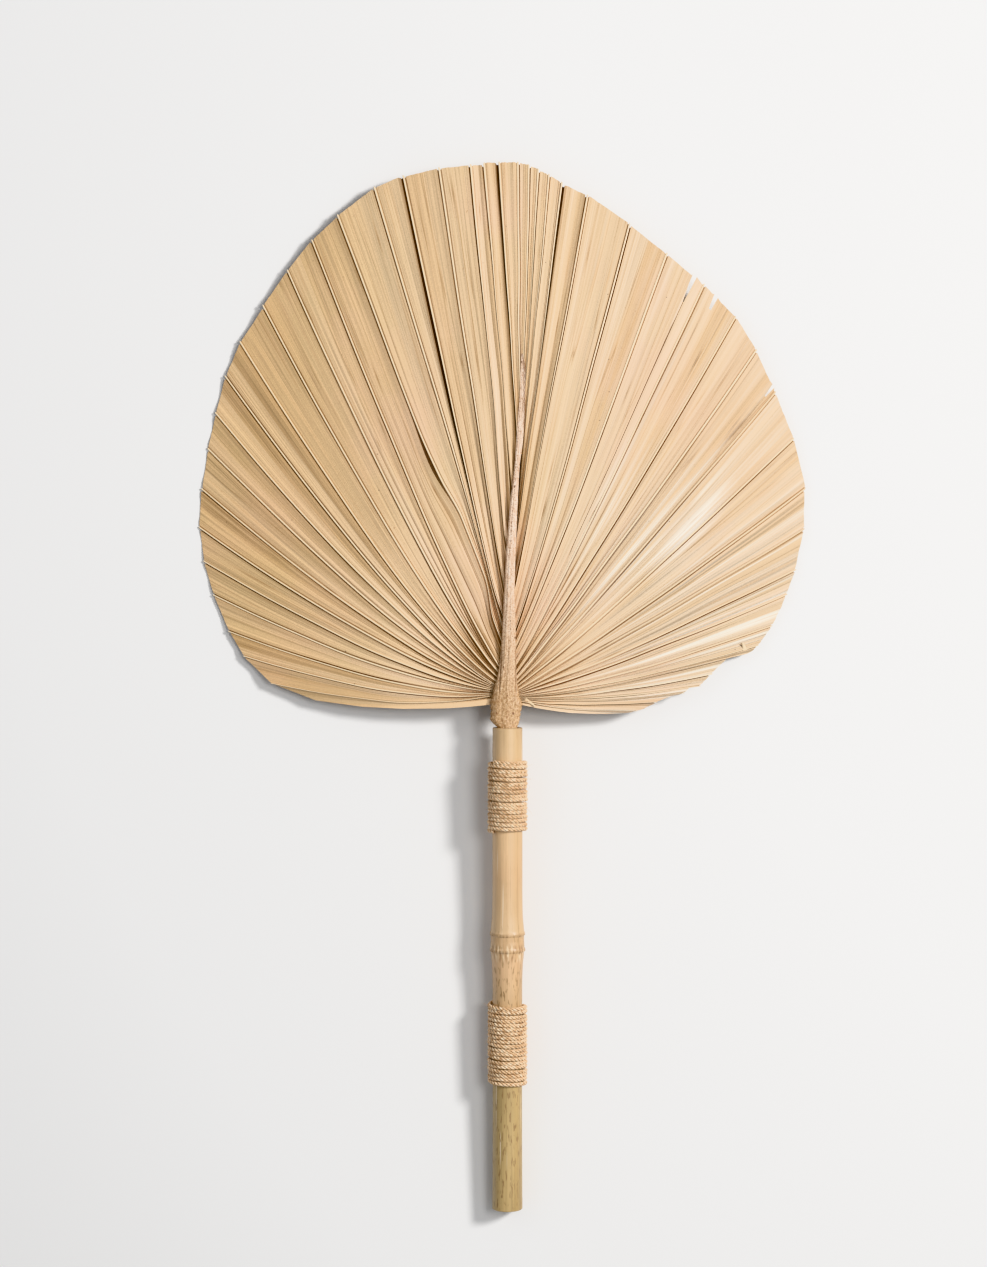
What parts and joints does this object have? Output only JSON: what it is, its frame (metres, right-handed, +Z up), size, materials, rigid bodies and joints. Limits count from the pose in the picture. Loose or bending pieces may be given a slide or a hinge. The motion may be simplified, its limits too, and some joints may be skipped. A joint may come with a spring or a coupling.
{
  "type": "fan palm leaf",
  "caption": "Dried pleated fan palm leaf cut to a rounded spade, its stalk set in a bamboo handle bound with jute twine, lying ribbed side up.",
  "frame": {"origin": "on the surface that the leaf lies on, under the middle of its box", "axes": "+X across the leaf to the right as seen from above, +Y along the handle towards the leaf's tip, +Z up"},
  "size_m": [0.4508, 0.7815, 0.0397],
  "materials": {
    "dried_leaf": "satin",
    "bamboo": "satin",
    "jute_twine": "matte"
  },
  "bodies": {
    "root": {"palm_leaf": "dried_leaf", "bamboo_handle": "bamboo", "upper_twine_binding": "jute_twine", "lower_twine_binding": "jute_twine"}
  },
  "joints": []
}
